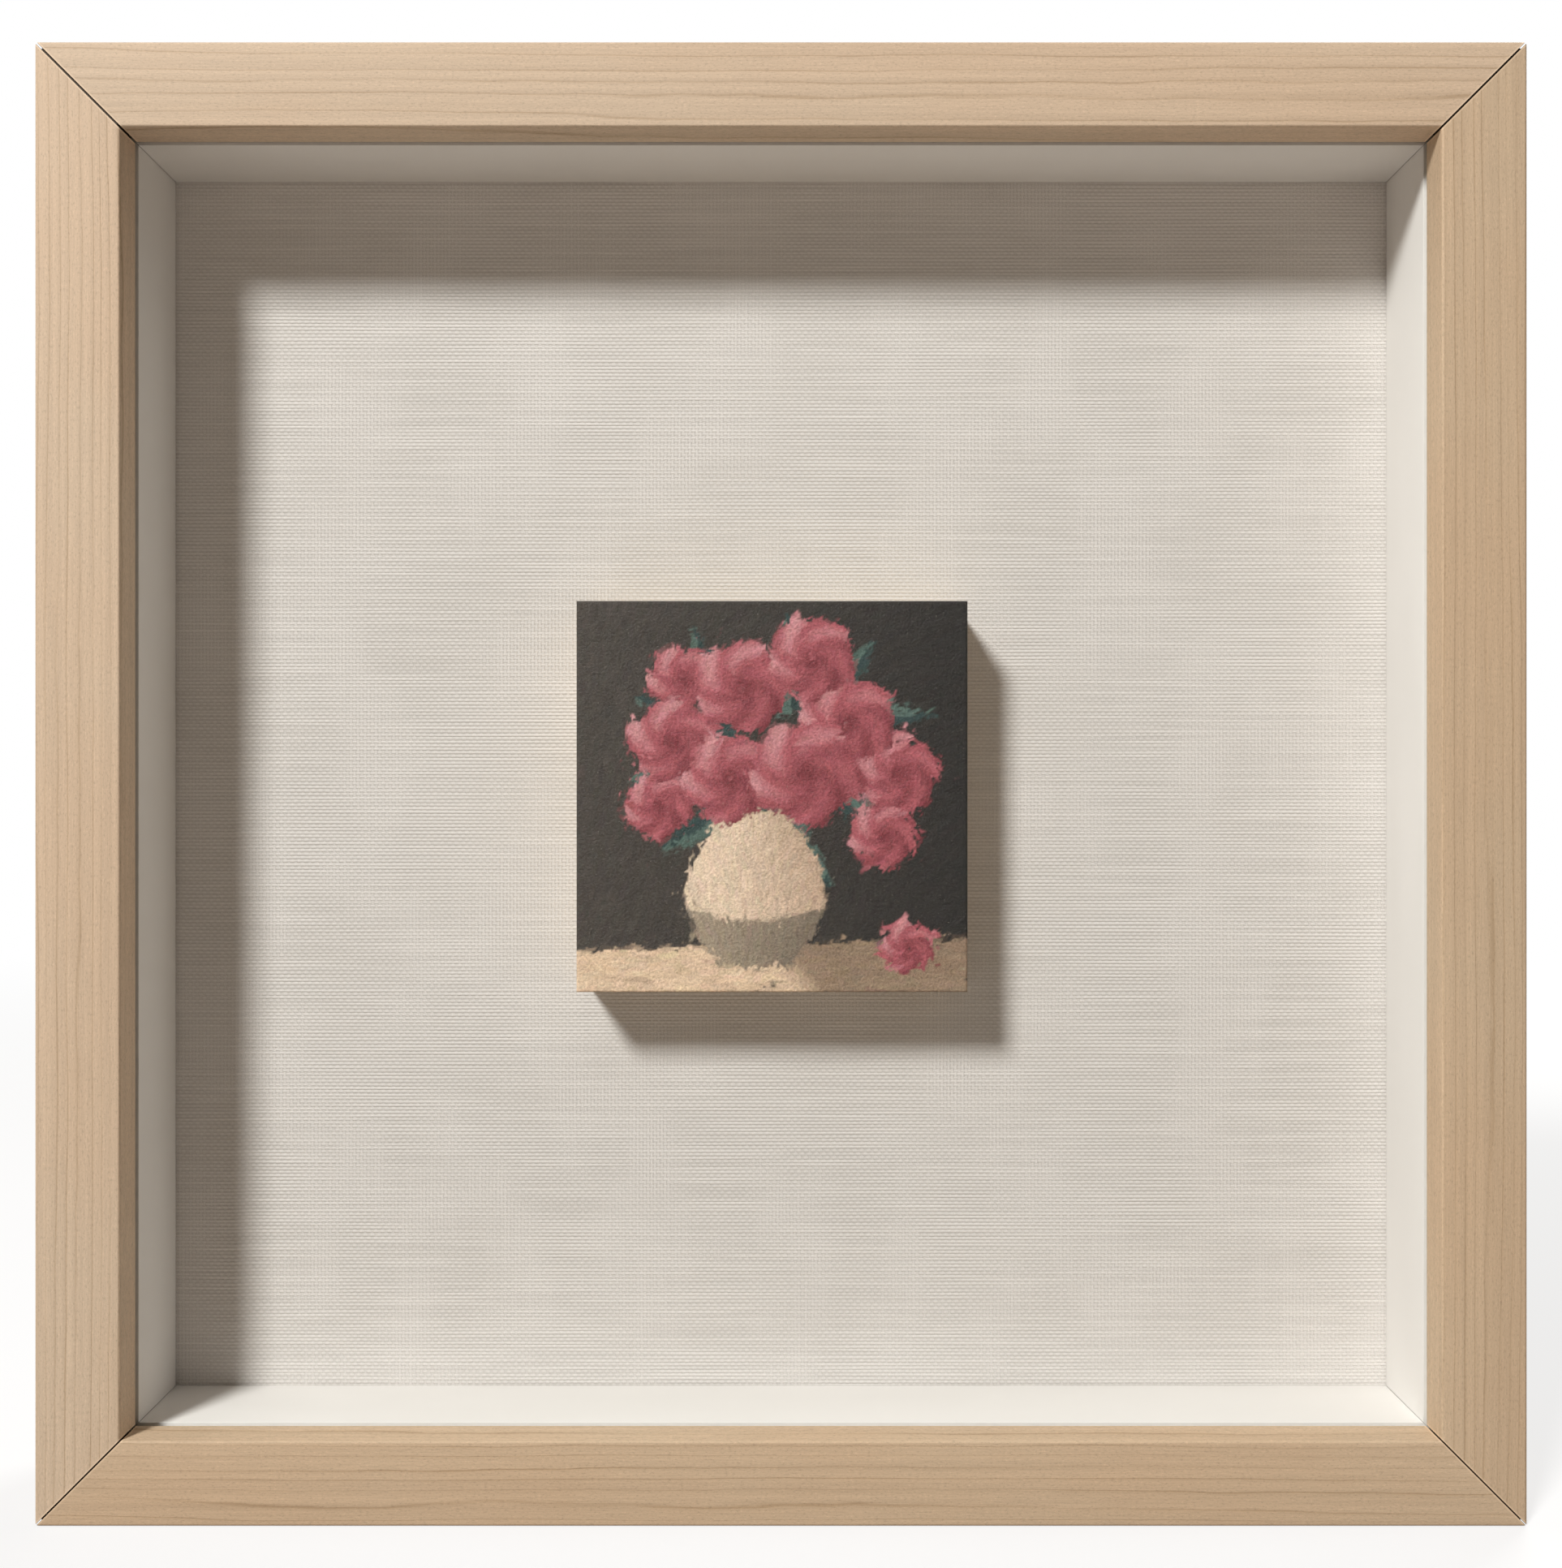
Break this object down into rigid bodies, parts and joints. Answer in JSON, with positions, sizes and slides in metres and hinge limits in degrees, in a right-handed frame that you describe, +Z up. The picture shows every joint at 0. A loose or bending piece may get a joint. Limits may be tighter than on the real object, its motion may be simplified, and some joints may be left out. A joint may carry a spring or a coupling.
{
  "type": "floating frame",
  "caption": "Deep square glazed wooden box frame holding a small cradled panel floated on a linen-covered board, with turn buttons and hanging rings on the back.",
  "frame": {"origin": "middle of the bottom rail's underside, half way through the frame's depth", "axes": "+X right seen from the front, +Y from the glazed front to the back, +Z up"},
  "size_m": [0.367, 0.052, 0.365],
  "materials": {
    "rail_wood": "pale straight-grained pine, sanded, clear wax",
    "spacer_white": "matt white faced board",
    "glass": "clear, anti-reflective",
    "linen": "off-white linen, plain weave",
    "museum_board": "matt",
    "corrugated_board": "matt",
    "hardboard": "smooth brown hardboard",
    "plywood": "birch plywood, raw",
    "paint": "brushed gesso and paint",
    "steel": "zinc plated",
    "zinc": "zinc plated",
    "nickel": "nickel plated",
    "bumper_rubber": "dark grey, matt"
  },
  "bodies": {
    "frame": {"rail_top": "rail_wood", "rail_bottom": "rail_wood", "rail_left": "rail_wood", "rail_right": "rail_wood", "v_nails": "steel", "glazing": "glass", "spacer_top": "spacer_white", "spacer_bottom": "spacer_white", "spacer_left": "spacer_white", "spacer_right": "spacer_white", "linen_cover": "linen", "mount_board": "museum_board", "painted_ground": "paint", "panel_face": "plywood", "cradle_top": "plywood", "cradle_bottom": "plywood", "cradle_left": "plywood", "cradle_right": "plywood", "mounting_block": "plywood", "panel_screws": "steel", "panel_washers": "steel", "filler_board": "corrugated_board", "backing_board": "hardboard", "turn_button_screws": "steel", "hanger_strap_left": "nickel", "hanger_strap_right": "nickel", "hanger_screws": "steel", "wall_bumper_left": "bumper_rubber", "wall_bumper_right": "bumper_rubber"},
    "turn_button_top_left": {"turn_button_top_left": "zinc"},
    "turn_button_top_right": {"turn_button_top_right": "zinc"},
    "turn_button_bottom_left": {"turn_button_bottom_left": "zinc"},
    "turn_button_bottom_right": {"turn_button_bottom_right": "zinc"},
    "turn_button_left_upper": {"turn_button_left_upper": "zinc"},
    "turn_button_left_lower": {"turn_button_left_lower": "zinc"},
    "turn_button_right_upper": {"turn_button_right_upper": "zinc"},
    "turn_button_right_lower": {"turn_button_right_lower": "zinc"},
    "hanger_ring_left": {"hanger_ring_left": "nickel"},
    "hanger_ring_right": {"hanger_ring_right": "nickel"}
  },
  "joints": [
    {"name": "turn_button_top_left_turn", "type": "hinge", "parent": "frame", "child": "turn_button_top_left", "pos_m": [-0.0935, 0.024, 0.3555], "axis": [0, 1, 0], "continuous": true},
    {"name": "turn_button_top_right_turn", "type": "hinge", "parent": "frame", "child": "turn_button_top_right", "pos_m": [0.0935, 0.024, 0.3555], "axis": [0, 1, 0], "continuous": true},
    {"name": "turn_button_bottom_left_turn", "type": "hinge", "parent": "frame", "child": "turn_button_bottom_left", "pos_m": [-0.0935, 0.024, 0.0095], "axis": [0, 1, 0], "continuous": true},
    {"name": "turn_button_bottom_right_turn", "type": "hinge", "parent": "frame", "child": "turn_button_bottom_right", "pos_m": [0.0935, 0.024, 0.0095], "axis": [0, 1, 0], "continuous": true},
    {"name": "turn_button_left_upper_turn", "type": "hinge", "parent": "frame", "child": "turn_button_left_upper", "pos_m": [-0.174, 0.024, 0.3], "axis": [0, 1, 0], "continuous": true},
    {"name": "turn_button_left_lower_turn", "type": "hinge", "parent": "frame", "child": "turn_button_left_lower", "pos_m": [-0.174, 0.024, 0.065], "axis": [0, 1, 0], "continuous": true},
    {"name": "turn_button_right_upper_turn", "type": "hinge", "parent": "frame", "child": "turn_button_right_upper", "pos_m": [0.174, 0.024, 0.3], "axis": [0, 1, 0], "continuous": true},
    {"name": "turn_button_right_lower_turn", "type": "hinge", "parent": "frame", "child": "turn_button_right_lower", "pos_m": [0.174, 0.024, 0.065], "axis": [0, 1, 0], "continuous": true},
    {"name": "hanger_ring_left_swing", "type": "hinge", "parent": "frame", "child": "hanger_ring_left", "pos_m": [-0.176, 0.02588, 0.255], "axis": [-1, 0, 0], "range_deg": [0, 170]},
    {"name": "hanger_ring_right_swing", "type": "hinge", "parent": "frame", "child": "hanger_ring_right", "pos_m": [0.176, 0.02588, 0.255], "axis": [-1, 0, 0], "range_deg": [0, 170]}
  ]
}
